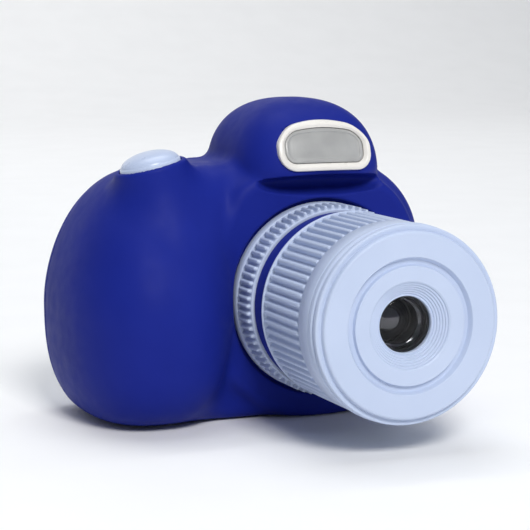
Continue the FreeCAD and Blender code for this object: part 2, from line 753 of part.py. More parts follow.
def speaker_leads():
    leads = []
    x, z = SPEAKER_CENTRE
    for k, start_x in enumerate((-2.6, 0.6)):
        end_x = -21.8 + 1.2 * k
        start = (start_x, SPEAKER_Y[0] - 0.05, z)
        route = [start, (start_x, 9.4, z), (end_x, 10.4, 48.0), (end_x, 9.7, 33.5)]
        leads.append(bent_tube(route, 0.4))
    return Part.makeCompound(leads)


# ---- port cover and tripod insert ---------------------------------------

def port_cover():
    outer_x = FLAP_INNER_X + FLAP_THICK
    plate = box(FLAP_INNER_X, outer_x, FLAP_Y[0], FLAP_Y[1], FLAP_Z[0], FLAP_Z[1])
    height = FLAP_Z[1] - FLAP_Z[0]
    barrel = Part.makeCylinder(BARREL_RADIUS, height, V(HINGE_X, FLAP_Y[0], FLAP_Z[0]))
    ridge = box(outer_x - 0.1, outer_x + 0.6, FLAP_Y[1] - 1.4, FLAP_Y[1] - 0.4, 26.0, 34.0)
    bore = Part.makeCylinder(HINGE_PIN_RADIUS + 0.05, height + 4, V(HINGE_X, FLAP_Y[0], FLAP_Z[0] - 2))
    return joined([plate, barrel, ridge]).cut(bore)


def port_hinge_pin():
    return Part.makeCylinder(HINGE_PIN_RADIUS, 21.6, V(HINGE_X, FLAP_Y[0], FLAP_Z[0] - 1.3))


def tripod_insert():
    x, y = TRIPOD_CENTRE
    body = Part.makeCylinder(4.5, 8.0, V(x, y, 0.0))
    return body.cut(Part.makeCylinder(TRIPOD_RADIUS, TRIPOD_DEPTH, V(x, y, 0.0)))


# ---- output -------------------------------------------------------------

def all_parts():
    outer = casing_outer()
    hollow = outer.cut(casing_inner())
    parts = {
        "front_shell": front_shell(hollow),
        "rear_shell": rear_shell(hollow),
        "lens_neck": lens_neck(),
        "zoom_ring": zoom_ring(),
        "focus_ring": focus_ring(),
        "front_rim": front_rim(),
        "front_plate": front_plate(),
        "lens_glass": lens_glass(),
        "lens_holder": lens_holder(),
        "camera_module": camera_module(),
        "sensor_board": sensor_board(),
        "camera_flex": camera_flex(),
        "lens_screws": lens_screws(),
        "flash_bezel": flash_bezel(),
        "flash_diffuser": flash_diffuser(),
        "flash_led": flash_led(),
        "flash_board": flash_board(),
        "shutter_button": shutter_button(),
        "shutter_switch": shutter_switch(),
        "shutter_board": shutter_board(),
        "screen_window": screen_window(),
        "lcd_panel": lcd_panel(),
        "lcd_flex": lcd_flex(),
        "button_board": button_board(),
        "rear_switches": rear_switches(),
        "main_board": main_board(),
        "board_chips": board_chips(),
        "microphone": microphone(),
        "board_screws": board_screws(),
        "case_screws": case_screws(),
        "usb_port": usb_port(),
        "card_socket": card_socket(),
        "memory_card": memory_card(),
        "battery": battery(),
        "battery_pad": battery_pad(),
        "battery_leads": battery_leads(),
        "speaker": speaker(),
        "speaker_leads": speaker_leads(),
        "port_cover": port_cover(),
        "port_hinge_pin": port_hinge_pin(),
        "tripod_insert": tripod_insert(),
    }
    for name, x, z, radius in rear_buttons():
        parts[name] = rear_button(x, z, radius)
    return parts


os.makedirs("parts", exist_ok=True)
for name, shape in all_parts().items():
    shape.exportStep("parts/" + name + ".step")
    print(name, shape.isValid(), len(shape.Solids), round(shape.Volume, 1))
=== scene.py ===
import json
import math

import bmesh
import bpy
import numpy as np
from mathutils import Matrix, Vector


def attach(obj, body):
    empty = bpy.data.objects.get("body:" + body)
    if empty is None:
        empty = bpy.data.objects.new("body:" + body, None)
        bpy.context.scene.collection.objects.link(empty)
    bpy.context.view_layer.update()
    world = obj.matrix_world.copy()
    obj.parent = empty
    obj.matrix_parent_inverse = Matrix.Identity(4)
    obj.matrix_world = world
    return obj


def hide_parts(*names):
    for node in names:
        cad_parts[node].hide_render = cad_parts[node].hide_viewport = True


# Kids digital camera. Shapes are worked out in millimetres in the frame's axes and turned
# into metres when a mesh is made: X to the right seen from the front, lens along -Y, Z up.

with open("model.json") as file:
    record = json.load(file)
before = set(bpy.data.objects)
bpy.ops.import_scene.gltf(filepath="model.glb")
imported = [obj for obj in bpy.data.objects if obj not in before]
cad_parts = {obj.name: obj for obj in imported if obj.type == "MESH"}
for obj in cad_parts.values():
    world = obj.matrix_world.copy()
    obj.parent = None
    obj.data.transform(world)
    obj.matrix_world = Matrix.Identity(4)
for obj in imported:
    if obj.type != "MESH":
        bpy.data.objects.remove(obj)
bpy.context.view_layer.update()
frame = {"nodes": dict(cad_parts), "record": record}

MM = 0.001

# ---- sizes --------------------------------------------------------------

LENS_Z = 29.5
BACK_Y = 19.5
PARTING_Y = 11.0
SEAM_GAP = 0.07
WALL = 2.0
CASING_STEP = 0.5
EDGE = 0.5
SMALL_EDGE = 0.4
CORE_CENTRE = (-5.5, 6.5, 27.7)
CORE_HALF = (35.5, 23.0, 33.7)
CORE_CORNER = 21.0
HUMP_FOOT_Z = 57.5
HUMP_RISE = 19.3
HUMP_CENTRE_Y = -2.5
HUMP_HALF_Y = 21.0
HUMP_POWER = 2.4
DISH_RADIUS = 23.7

SHUTTER_SEAT = np.array([-40.4, -11.2, 60.9])
SHUTTER_AXIS = np.array([-0.23, 0.02, 0.97]) / np.linalg.norm([-0.23, 0.02, 0.97])
SHUTTER_RADIUS = 7.3
DOME_BASE = 1.25
DOME_RISE = 2.95

ZOOM_RIB_COUNT = 78
FOCUS_RIB_COUNT = 66
RIB_HEIGHT = 0.95
RING_BORE = 20.38
ZOOM_RADIUS = 22.9
FOCUS_RADIUS = 22.2
RIM_RADIUS = 22.4

FLASH_CENTRE = (-0.6, 66.0)
FLASH_HALF = (11.9, 6.0)

SCREEN_CENTRE = (-8.0, 30.0)
PANE_HALF = (24.0, 19.0)
DPAD_CENTRE = (-43.5, 26.5)
DPAD_REACH = 7.9
KEY_RADIUS = 2.7
OK_RADIUS = 3.3
CASE_SCREWS = ((-50.0, 8.0), (-53.5, 37.5), (20.0, 12.5), (20.0, 47.5))
SPEAKER_CENTRE = (-1.0, 53.9)
TRIPOD_CENTRE = (-6.0, 2.0)
USB_CENTRE = (3.35, 28.5)
CARD_CENTRE = (7.4, 29.0)
HINGE = (28.85, -1.2)

KEYS = {
    "up_button": (DPAD_CENTRE[0], DPAD_CENTRE[1] + DPAD_REACH, KEY_RADIUS),
    "down_button": (DPAD_CENTRE[0], DPAD_CENTRE[1] - DPAD_REACH, KEY_RADIUS),
    "left_button": (DPAD_CENTRE[0] + DPAD_REACH, DPAD_CENTRE[1], KEY_RADIUS),
    "right_button": (DPAD_CENTRE[0] - DPAD_REACH, DPAD_CENTRE[1], KEY_RADIUS),
    "ok_button": (DPAD_CENTRE[0], DPAD_CENTRE[1], OK_RADIUS),
    "mode_button": (DPAD_CENTRE[0] - 4.6, DPAD_CENTRE[1] + 17.7, KEY_RADIUS),
    "play_button": (DPAD_CENTRE[0] + 4.6, DPAD_CENTRE[1] + 17.7, KEY_RADIUS),
    "power_button": (DPAD_CENTRE[0], DPAD_CENTRE[1] - 17.0, KEY_RADIUS),
}


# ---- distance-like fields, negative inside --------------------------------

def join(a, b, blend):
    near = np.maximum(blend - np.abs(a - b), 0.0) / blend
    return np.minimum(a, b) - near * near * blend / 4.0


def meet(a, b, blend):
    return -join(-a, -b, blend)


def cut(a, b, blend):
    return meet(a, -b, blend)


def rounded_rectangle(p, q, half_p, half_q, radius):
    dp = np.abs(p) - half_p + radius
    dq = np.abs(q) - half_q + radius
    return np.hypot(np.maximum(dp, 0), np.maximum(dq, 0)) + np.minimum(np.maximum(dp, dq), 0) - radius


def slab(outline, depth, radius):
    """A flat outline given some thickness, with edges rounded by radius."""
    a = outline + radius
    b = depth + radius
    return np.hypot(np.maximum(a, 0), np.maximum(b, 0)) + np.minimum(np.maximum(a, b), 0) - radius


def superellipsoid(x, y, z, half_x, half_y, rise, drop, plan_power, rise_power, drop_power):
    height = np.where(z > 0, rise, drop)
    power = np.where(z > 0, rise_power, drop_power)
    plan = np.abs(x / half_x) ** plan_power + np.abs(y / half_y) ** plan_power
    reach = (plan ** (power / plan_power) + np.abs(z / height) ** power + 1e-12) ** (1.0 / power)
    length = np.sqrt(x * x + y * y + z * z)
    return np.where(reach > 1e-3, length * (1 - 1 / np.maximum(reach, 1e-3)), -half_x)


def core_outline(x, z):
    return rounded_rectangle(x - CORE_CENTRE[0], z - CORE_CENTRE[2], CORE_HALF[0], CORE_HALF[2], CORE_CORNER)


def hump_form(x, y, z):
    form = superellipsoid(
        x + 1, y - HUMP_CENTRE_Y, z - HUMP_FOOT_Z, 18.5, HUMP_HALF_Y, HUMP_RISE, 30, 3.4, HUMP_POWER, 3)
    return meet(form, HUMP_FOOT_Z - z, 3.0)


def plain_casing(x, y, z):
    core = slab(core_outline(x, z), np.abs(y - CORE_CENTRE[1]) - CORE_HALF[1], 8)
    grip = superellipsoid(x + 40.9, y - 0.5, z - 27.0, 20.0, 32, 33.2, 30, 2.5, 1.78, 2.6)
    grip = join(grip, shoulder(x, y, z), 5)
    form = join(core, grip, 7)
    form = join(form, hump_form(x, y, z), 3.0)
    form = meet(form, y - BACK_Y, 7)
    return meet(form, -z, 4)


def lens_boss(x, y, z):
    """Raised plate round the lens, which runs up under the hump."""
    radius = np.hypot(x, z - LENS_Z)
    plate = join(radius - 30.0, rounded_rectangle(x, z - 51, 19.5, 14, 3), 12)
    plate = meet(plate, core_outline(x, z) + 3.5, 4)
    return slab(plate, np.abs(y + 5) - 14.6, 2.2)


def along_shutter(x, y, z):
    """Height above the shutter button's seat and distance from its axis."""
    px, py, pz = x - SHUTTER_SEAT[0], y - SHUTTER_SEAT[1], z - SHUTTER_SEAT[2]
    height = px * SHUTTER_AXIS[0] + py * SHUTTER_AXIS[1] + pz * SHUTTER_AXIS[2]
    radius = np.sqrt(np.maximum(px * px + py * py + pz * pz - height * height, 0))
    return height, radius


def shutter_collar(x, y, z):
    height, radius = along_shutter(x, y, z)
    return slab(radius - 8.7 + 0.12 * height, np.abs(height + 9) - 9.9, 0.8)


def shoulder(x, y, z):
    """Fills the grip's inner shoulder between the button and the hump."""
    return superellipsoid(x + 33.0, y + 1.0, z - 36.0, 13.5, 22.5, 24.5, 30, 2.6, 2.3, 2.6)


def brow_shadow(x, y, z):
    """Shallow hollow in the boss just under the hump, deepest in the middle."""
    return superellipsoid(x - 0.5, y + 22.0, z - 57.2, 17.5, 7.2, 2.0, 3.1, 2.4, 2.2, 2.2)


def casing_skin(x, y, z):
    form = join(plain_casing(x, y, z), lens_boss(x, y, z), 3.0)
    form = cut(form, brow_shadow(x, y, z), 1.2)
    radius = np.hypot(x, z - LENS_Z)
    form = cut(form, slab(radius - DISH_RADIUS, np.abs(y + 28) - 10.4, 0.5), 0.8)
    form = join(form, shutter_collar(x, y, z), 4.5)
    form = meet(form, y - BACK_Y, 1.0)
    return meet(form, -z, 1.0)


def bar_y(x, z, centre, radius, y, y0, y1):
    """Round bar along Y from y0 to y1."""
    outline = np.hypot(x - centre[0], z - centre[1]) - radius
    return np.maximum(outline, np.abs(y - (y0 + y1) / 2) - (y1 - y0) / 2)


def block(x, y, z, low, high, radius=0.0):
    dx = np.abs(x - (low[0] + high[0]) / 2) - (high[0] - low[0]) / 2 + radius
    dy = np.abs(y - (low[1] + high[1]) / 2) - (high[1] - low[1]) / 2 + radius
    dz = np.abs(z - (low[2] + high[2]) / 2) - (high[2] - low[2]) / 2 + radius
    outside = np.sqrt(np.maximum(dx, 0) ** 2 + np.maximum(dy, 0) ** 2 + np.maximum(dz, 0) ** 2)
    return outside + np.minimum(np.maximum(np.maximum(dx, dy), dz), 0) - radius


def inner_supports(x, y, z):
    """Screw posts, the thick spot behind the ports and the cup under the shutter button."""
    form = block(x, y, z, (26.2, -4, 20), (28.8, 16, 40.5))
    for centre in CASE_SCREWS:
        form = np.minimum(form, bar_y(x, z, centre, 3.0, y, -3, 18.3))
    height, radius = along_shutter(x, y, z)
    cup = np.maximum(radius - 10.0, np.abs(height + 5.0) - 5.0)
    form = np.minimum(form, cup)
    tripod = np.hypot(x - TRIPOD_CENTRE[0], y - TRIPOD_CENTRE[1])
    return np.minimum(form, np.maximum(tripod - 6.5, np.abs(z - 4.4) - 4.0))


def flash_outline(x, z):
    """Opening behind the flash frame, a little smaller than the frame."""
    return rounded_rectangle(
        x - FLASH_CENTRE[0], z - FLASH_CENTRE[1], FLASH_HALF[0] - 1.2, FLASH_HALF[1] - 1.2, 4.4)


def shell(x, y, z):
    """Both casing halves in one: a hollow wall with every opening."""
    skin = casing_skin(x, y, z)
    form = np.maximum(skin, -(plain_casing(x, y, z) + WALL))
    form = np.minimum(form, np.maximum(inner_supports(x, y, z), skin))
    height, radius = along_shutter(x, y, z)
    form = cut(form, np.maximum(radius - SHUTTER_RADIUS - 0.2, -3.5 - height), 0.35)
    form = cut(form, bar_y(x, z, (0, LENS_Z), 17.5, y, -40, -8), EDGE)
    form = cut(form, np.maximum(flash_outline(x, z), y + 12), EDGE)
    pane = rounded_rectangle(
        x - SCREEN_CENTRE[0], z - SCREEN_CENTRE[1], PANE_HALF[0] + 0.1, PANE_HALF[1] + 0.1, 3.0)
    form = cut(form, slab(pane, np.abs(y - 25) - 6.7, 0.1), SMALL_EDGE)
    window = rounded_rectangle(x - SCREEN_CENTRE[0], z - SCREEN_CENTRE[1], 21, 16, 1)
    form = cut(form, np.maximum(window, 14 - y), EDGE)
    for key_x, key_z, key_radius in KEYS.values():
        form = cut(form, bar_y(x, z, (key_x, key_z), key_radius + 0.22, y, 14, 30), SMALL_EDGE)
    for centre in CASE_SCREWS:
        form = cut(form, bar_y(x, z, centre, 2.2, y, 16.25, 30), SMALL_EDGE)
    form = cut(form, bar_y(x, z, SPEAKER_CENTRE, 5.6, y, 18.2, 30), SMALL_EDGE)
    tripod = np.hypot(x - TRIPOD_CENTRE[0], y - TRIPOD_CENTRE[1]) - 4.6
    form = cut(form, np.maximum(tripod, z - 9.0), SMALL_EDGE)
    pocket = block(x, y, z, (28.3, -2.75, 20.25), (40, 9.95, 39.75), SMALL_EDGE)
    form = cut(form, pocket, SMALL_EDGE)
    usb = rounded_rectangle(y - USB_CENTRE[0], z - USB_CENTRE[1], 1.75, 4.65, 1.7)
    card = rounded_rectangle(y - CARD_CENTRE[0], z - CARD_CENTRE[1], 0.7, 6.0, 0.3)
    return cut(form, np.maximum(np.minimum(usb, card), 20 - x), 0.3)


def front_half(x, y, z):
    return meet(shell(x, y, z), y - PARTING_Y + SEAM_GAP, EDGE)


def rear_half(x, y, z):
    return meet(shell(x, y, z), PARTING_Y + SEAM_GAP - y, EDGE)


# ---- meshes ---------------------------------------------------------------

def gradient(field, points):
    nudge = 0.02
    slopes = []
    for axis in range(3):
        high = points.copy()
        low = points.copy()
        high[:, axis] += nudge
        low[:, axis] -= nudge
        slopes.append((field(*high.T) - field(*low.T)) / (2 * nudge))
    return np.stack(slopes, axis=1)


def settle(field, points, reach, rounds=3):
    """Moves points onto the surface where the field is zero."""
    for _ in range(rounds):
        value = field(*points.T)
        slope = gradient(field, points)
        steep = np.maximum((slope ** 2).sum(axis=1), 0.05)
        move = slope * (value / steep)[:, None]
        size = np.linalg.norm(move, axis=1, keepdims=True)
        points = points - move * np.minimum(1.0, reach / np.maximum(size, 1e-9))
    return points


def surface_net(field, low, high, step):
    """Quad mesh of the surface where the field is zero: one point in each grid cell it crosses."""
    axes = [np.arange(a, b + step, step) for a, b in zip(low, high)]
    values = field(*np.meshgrid(*axes, indexing="ij", sparse=True))
    inside = values < 0
    corners = [(i, j, k) for i in (0, 1) for j in (0, 1) for k in (0, 1)]
    nx, ny, nz = (len(a) - 1 for a in axes)
    count = sum(inside[i:i + nx, j:j + ny, k:k + nz].astype(np.int8) for i, j, k in corners)
    active = (count > 0) & (count < 8)
    cell = np.argwhere(active)
    number = np.full(active.shape, -1, dtype=np.int64)
    number[active] = np.arange(len(cell))
    value = {c: values[cell[:, 0] + c[0], cell[:, 1] + c[1], cell[:, 2] + c[2]] for c in corners}
    total = np.zeros((len(cell), 3))
    hits = np.zeros(len(cell))
    for a in corners:
        for axis in range(3):
            if a[axis]:
                continue
            b = tuple(1 if n == axis else a[n] for n in range(3))
            crossed = (value[a] < 0) != (value[b] < 0)
            share = value[a] / np.where(crossed, value[a] - value[b], 1.0)
            spot = np.tile(np.array(a, float), (len(cell), 1))
            spot[:, axis] += share
            total += np.where(crossed[:, None], spot, 0.0)
            hits += crossed
    points = np.array([a[0] for a in axes]) + step * (cell + total / hits[:, None])
    faces = []
    for axis in range(3):
        b, c = [n for n in range(3) if n != axis]
        if axis == 1:
            b, c = c, b
        near = np.take(inside, range(0, inside.shape[axis] - 1), axis)
        far = np.take(inside, range(1, inside.shape[axis]), axis)
        spot = np.argwhere(near != far)
        spot = spot[(spot[:, b] > 0) & (spot[:, c] > 0)]
        spot = spot[(spot[:, b] < active.shape[b]) & (spot[:, c] < active.shape[c])]
        ring = []
        for back_b, back_c in ((1, 1), (0, 1), (0, 0), (1, 0)):
            at = spot.copy()
            at[:, b] -= back_b
            at[:, c] -= back_c
            ring.append(number[at[:, 0], at[:, 1], at[:, 2]])
        quad = np.stack(ring, axis=1)
        flip = ~near[spot[:, 0], spot[:, 1], spot[:, 2]]
        quad[flip] = quad[flip][:, ::-1]
        faces.append(quad)
    return settle(field, points, step * 0.6), np.concatenate(faces)


def mesh_object(name, points, faces):
    """Object from points in millimetres; faces is an array or a list of index lists."""
    mesh = bpy.data.meshes.new(name)
    mesh.from_pydata((np.asarray(points) * MM).tolist(), [], [list(map(int, f)) for f in faces])
    mesh.update()
    mesh.polygons.foreach_set("use_smooth", [True] * len(mesh.polygons))
    piece = bpy.data.objects.new(name, mesh)
    bpy.context.scene.collection.objects.link(piece)
    return piece


def formed(name, field, low, high, step):
    """Piece made from a field, shaded with the field's own slope."""
    points, faces = surface_net(field, low, high, step)
    piece = mesh_object(name, points, faces)
    normals = gradient(field, points)
    normals /= np.maximum(np.linalg.norm(normals, axis=1, keepdims=True), 1e-9)
    piece.data.normals_split_custom_set_from_vertices(normals.tolist())
    return piece


def rounded_corners(outline, radii, arc_points=5):
    """Closed outline of (a, b) points with each corner turned into an arc."""
    result = []
    count = len(outline)
    for i, radius in enumerate(radii):
        here = np.array(outline[i], float)
        back = np.array(outline[i - 1], float) - here
        ahead = np.array(outline[(i + 1) % count], float) - here
        reach = min(np.linalg.norm(back), np.linalg.norm(ahead)) * 0.48
        back /= np.linalg.norm(back)
        ahead /= np.linalg.norm(ahead)
        half = math.acos(max(-1.0, min(1.0, float(back @ ahead)))) / 2
        trim = min(radius / math.tan(half), reach) if radius > 0 else 0
        if trim < 1e-4:
            result.append(here)
            continue
        first = here + back * trim
        last = here + ahead * trim
        for k in range(arc_points + 1):
            t = k / arc_points
            result.append(first * (1 - t) ** 2 + here * 2 * t * (1 - t) + last * t ** 2)
    return result


def even_shading(piece):
    """Keeps flat faces flat between rounded edges."""
    modifier = piece.modifiers.new("even shading", "WEIGHTED_NORMAL")
    modifier.keep_sharp = True
    return piece


def strip(i, j, count):
    """Quads between closed rings i and j of count points each."""
    here = np.arange(count)
    after = (here + 1) % count
    return np.stack([i * count + here, j * count + here, j * count + after, i * count + after], axis=1)


def lathe(name, outline, segments=256):
    """Closed outline of (radius, y) turned about the lens axis."""
    points = []
    faces = []
    count = len(outline)
    for s in range(segments):
        turn = 2 * math.pi * s / segments
        for radius, y in outline:
            points.append((radius * math.cos(turn), y, LENS_Z + radius * math.sin(turn)))
    for s in range(segments):
        after = (s + 1) % segments
        for i in range(count):
            j = (i + 1) % count
            faces.append((s * count + i, after * count + i, after * count + j, s * count + j))
    return even_shading(facing_out(mesh_object(name, points, faces)))


def facing_out(piece):
    """Turns every face outwards and merges points that share a place, such as those on an axis."""
    work = bmesh.new()
    work.from_mesh(piece.data)
    bmesh.ops.remove_doubles(work, verts=work.verts, dist=1e-7)
    bmesh.ops.recalc_face_normals(work, faces=work.faces)
    work.to_mesh(piece.data)
    work.free()
    piece.data.polygons.foreach_set("use_smooth", [True] * len(piece.data.polygons))
    return piece


def finish_piece(piece, body, node, material):
    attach(piece, body)
    if node:
        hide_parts(node)
    piece.data.materials.clear()
    piece.data.materials.append(material)
    return piece


# ---- materials ------------------------------------------------------------

class Nodes:
    """Small helper for building one material's nodes."""

    def __init__(self, name):
        self.material = bpy.data.materials.new(name)
        self.material.use_nodes = True
        self.tree = self.material.node_tree
        self.shader = self.tree.nodes["Principled BSDF"]
        self.place = self.add("ShaderNodeTexCoord").outputs["Object"]

    def add(self, kind, **settings):
        node = self.tree.nodes.new(kind)
        for key, value in settings.items():
            setattr(node, key, value)
        return node

    def link(self, source, target):
        self.tree.links.new(source, target)

    def noise(self, scale, detail=2.0, roughness=0.5, stretch=(1, 1, 1)):
        mapping = self.add("ShaderNodeMapping")
        mapping.inputs["Scale"].default_value = stretch
        self.link(self.place, mapping.inputs["Vector"])
        node = self.add("ShaderNodeTexNoise")
        node.inputs["Scale"].default_value = scale
        node.inputs["Detail"].default_value = detail
        node.inputs["Roughness"].default_value = roughness
        self.link(mapping.outputs["Vector"], node.inputs["Vector"])
        return node.outputs["Fac"]

    def ramp(self, source, stops):
        node = self.add("ShaderNodeValToRGB")
        elements = node.color_ramp.elements
        while len(elements) < len(stops):
            elements.new(0.5)
        for element, (position, colour) in zip(elements, stops):
            element.position = position
            element.color = (*colour, 1)
        self.link(source, node.inputs["Fac"])
        return node.outputs["Color"]

    def spread(self, source, low, high, from_low=0.3, from_high=0.7):
        node = self.add("ShaderNodeMapRange")
        node.inputs["From Min"].default_value = from_low
        node.inputs["From Max"].default_value = from_high
        node.inputs["To Min"].default_value = low
        node.inputs["To Max"].default_value = high
        self.link(source, node.inputs["Value"])
        return node.outputs["Result"]

    def bump(self, source, strength, distance, below=None):
        node = self.add("ShaderNodeBump")
        node.inputs["Strength"].default_value = strength
        node.inputs["Distance"].default_value = distance
        self.link(source, node.inputs["Height"])
        if below is not None:
            self.link(below, node.inputs["Normal"])
        return node.outputs["Normal"]


def moulded_plastic(name, dark, light, roughness, grain=0.25, coat=0.0, ior=1.45):
    """Moulded plastic: slight colour drift, spark-eroded grain and uneven gloss."""
    m = Nodes(name)
    drift = m.noise(55, detail=3)
    m.link(m.ramp(drift, [(0.3, dark), (0.7, light)]), m.shader.inputs["Base Color"])
    gloss = m.noise(300, detail=4)
    m.link(m.spread(gloss, roughness - 0.05, roughness + 0.06), m.shader.inputs["Roughness"])
    fine = m.noise(5200, detail=1.0)
    wave = m.noise(120, detail=1.0)
    normal = m.bump(wave, 0.03, 0.0006)
    m.link(m.bump(fine, grain, 0.00004, normal), m.shader.inputs["Normal"])
    m.shader.inputs["Coat Weight"].default_value = coat
    m.shader.inputs["Coat Roughness"].default_value = 0.25
    m.shader.inputs["IOR"].default_value = ior
    return m.material


def metal(name, dark, light, roughness, stretch):
    m = Nodes(name)
    brushed = m.noise(900, detail=4, stretch=stretch)
    m.link(m.ramp(brushed, [(0.3, dark), (0.7, light)]), m.shader.inputs["Base Color"])
    m.link(m.spread(brushed, roughness - 0.06, roughness + 0.08), m.shader.inputs["Roughness"])
    m.link(m.bump(brushed, 0.15, 0.00003), m.shader.inputs["Normal"])
    m.shader.inputs["Metallic"].default_value = 1.0
    return m.material


def circuit_board(name):
    m = Nodes(name)
    cells = m.add("ShaderNodeTexVoronoi", distance="MANHATTAN")
    cells.inputs["Scale"].default_value = 420
    m.link(m.place, cells.inputs["Vector"])
    tracks = m.ramp(cells.outputs["Distance"], [(0.42, (0.012, 0.13, 0.035)), (0.5, (0.02, 0.21, 0.06))])
    m.link(tracks, m.shader.inputs["Base Color"])
    m.link(m.bump(cells.outputs["Distance"], 0.2, 0.00004), m.shader.inputs["Normal"])
    m.link(m.spread(m.noise(600), 0.24, 0.4), m.shader.inputs["Roughness"])
    return m.material


def clear_glass(name, tint, roughness=0.02):
    m = Nodes(name)
    smear = m.noise(220, detail=3)
    clearer = tuple(min(1, c * 1.04) for c in tint)
    m.link(m.ramp(smear, [(0.3, tint), (0.7, clearer)]), m.shader.inputs["Base Color"])
    m.link(m.spread(smear, roughness, roughness + 0.03), m.shader.inputs["Roughness"])
    m.shader.inputs["Transmission Weight"].default_value = 1.0
    m.shader.inputs["IOR"].default_value = 1.22
    return m.material


def screen_pane(name):
    """Dark glossy pane with a printed black border and a slightly lighter view area."""
    m = Nodes(name)
    split = m.add("ShaderNodeSeparateXYZ")
    m.link(m.place, split.inputs["Vector"])
    sides = []
    for axis, centre, half in (("X", SCREEN_CENTRE[0], 20.6), ("Z", SCREEN_CENTRE[1], 15.6)):
        shift = m.add("ShaderNodeMath", operation="SUBTRACT")
        m.link(split.outputs[axis], shift.inputs[0])
        shift.inputs[1].default_value = centre * MM
        size = m.add("ShaderNodeMath", operation="ABSOLUTE")
        m.link(shift.outputs[0], size.inputs[0])
        inside = m.add("ShaderNodeMath", operation="LESS_THAN")
        m.link(size.outputs[0], inside.inputs[0])
        inside.inputs[1].default_value = half * MM
        sides.append(inside.outputs[0])
    area = m.add("ShaderNodeMath", operation="MULTIPLY")
    m.link(sides[0], area.inputs[0])
    m.link(sides[1], area.inputs[1])
    m.link(m.ramp(area.outputs[0], [(0.4, (0.006, 0.006, 0.007)), (0.6, (0.022, 0.026, 0.034))]),
           m.shader.inputs["Base Color"])
    m.link(m.spread(m.noise(180, detail=4), 0.04, 0.10), m.shader.inputs["Roughness"])
    m.shader.inputs["Coat Weight"].default_value = 0.6
    m.shader.inputs["Coat Roughness"].default_value = 0.03
    return m.material


def ribbed_diffuser(name):
    """Grey flash window with faint upright prisms."""
    m = Nodes(name)
    lines = m.add("ShaderNodeTexWave", wave_type="BANDS", bands_direction="X")
    lines.inputs["Scale"].default_value = 420
    lines.inputs["Distortion"].default_value = 0.0
    m.link(m.place, lines.inputs["Vector"])
    drift = m.noise(160, detail=3)
    greys = [(0.3, (0.33, 0.33, 0.325)), (0.7, (0.39, 0.39, 0.38))]
    m.link(m.ramp(drift, greys), m.shader.inputs["Base Color"])
    m.link(m.spread(drift, 0.3, 0.42), m.shader.inputs["Roughness"])
    m.link(m.bump(lines.outputs["Fac"], 0.12, 0.00005), m.shader.inputs["Normal"])
    m.shader.inputs["Coat Weight"].default_value = 0.3
    m.shader.inputs["Coat Roughness"].default_value = 0.2
    return m.material


BLUE = moulded_plastic(
    "casing_blue", (0.0085, 0.0175, 0.215), (0.0105, 0.0210, 0.240), 0.5, grain=0.22, ior=1.16)
PALE = moulded_plastic("lens_pale", (0.475, 0.550, 0.720), (0.505, 0.580, 0.750), 0.42, grain=0.16, ior=1.35)
KEY_PALE = moulded_plastic(
    "button_pale", (0.45, 0.525, 0.70), (0.475, 0.55, 0.725), 0.3, grain=0.03, coat=0.2)
CREAM = moulded_plastic("cream_frame", (0.74, 0.71, 0.66), (0.79, 0.76, 0.71), 0.3, grain=0.06, coat=0.3)
BLACK = moulded_plastic("black_plastic", (0.012, 0.012, 0.013), (0.02, 0.02, 0.021), 0.42, grain=0.25)
CHIP = moulded_plastic("chip_resin", (0.02, 0.02, 0.022), (0.032, 0.032, 0.034), 0.5, grain=0.4)
BATTERY = moulded_plastic("battery_pouch", (0.30, 0.34, 0.38), (0.37, 0.41, 0.45), 0.3, grain=0.1)
FOAM = moulded_plastic("dark_foam", (0.03, 0.03, 0.032), (0.05, 0.05, 0.052), 0.85, grain=1.0)
WIRE = moulded_plastic("wire_red", (0.35, 0.02, 0.02), (0.45, 0.03, 0.03), 0.45, grain=0.1)
LED = moulded_plastic("led_resin", (0.75, 0.62, 0.16), (0.85, 0.72, 0.22), 0.3, grain=0.1)
FLEX = moulded_plastic("flex_film", (0.38, 0.17, 0.03), (0.46, 0.22, 0.04), 0.28, grain=0.1)
LCD = moulded_plastic("lcd_face", (0.010, 0.012, 0.018), (0.014, 0.017, 0.024), 0.15, grain=0.02)
RUBBER = moulded_plastic(
    "flap_rubber", (0.0065, 0.013, 0.175), (0.0085, 0.016, 0.20), 0.6, grain=0.4, ior=1.2)
STEEL = metal("zinc_steel", (0.50, 0.50, 0.52), (0.68, 0.68, 0.70), 0.3, (1, 1, 1))
BRASS = metal("turned_brass", (0.55, 0.36, 0.12), (0.72, 0.50, 0.20), 0.26, (1, 1, 8))
STAMPED = metal("stamped_shell", (0.46, 0.46, 0.48), (0.62, 0.62, 0.64), 0.28, (6, 1, 1))
BOARD = circuit_board("green_board")
PANE = screen_pane("screen_pane")
DIFFUSER = ribbed_diffuser("flash_diffuser")
GLASS = clear_glass("lens_glass", (0.80, 0.81, 0.84))

SLOT_MATERIALS = {
    "body_blue": BLUE, "lens_pale": PALE, "button_pale": KEY_PALE, "cream": CREAM, "diffuser": DIFFUSER,
    "lens_glass": GLASS, "screen": PANE, "lcd": LCD, "black_plastic": BLACK, "pcb": BOARD, "flex": FLEX,
    "steel": STEEL, "brass": BRASS, "chip": CHIP, "led": LED, "battery_wrap": BATTERY, "foam": FOAM,
    "wire": WIRE, "flap_rubber": RUBBER, "plug_metal": STAMPED,
}


# ---- casing ---------------------------------------------------------------

def casing():
    front = formed("front_casing", front_half, (-63, -34, -1.5), (33, PARTING_Y + 1, 79), CASING_STEP)
    finish_piece(front, "camera_body", "front_shell", BLUE)
    rear = formed("rear_casing", rear_half, (-63, PARTING_Y - 1, -1.5), (33, 22, 79), CASING_STEP)
    finish_piece(rear, "camera_body", "rear_shell", BLUE)
    finish_piece(speaker_grille(), "camera_body", None, BLUE)


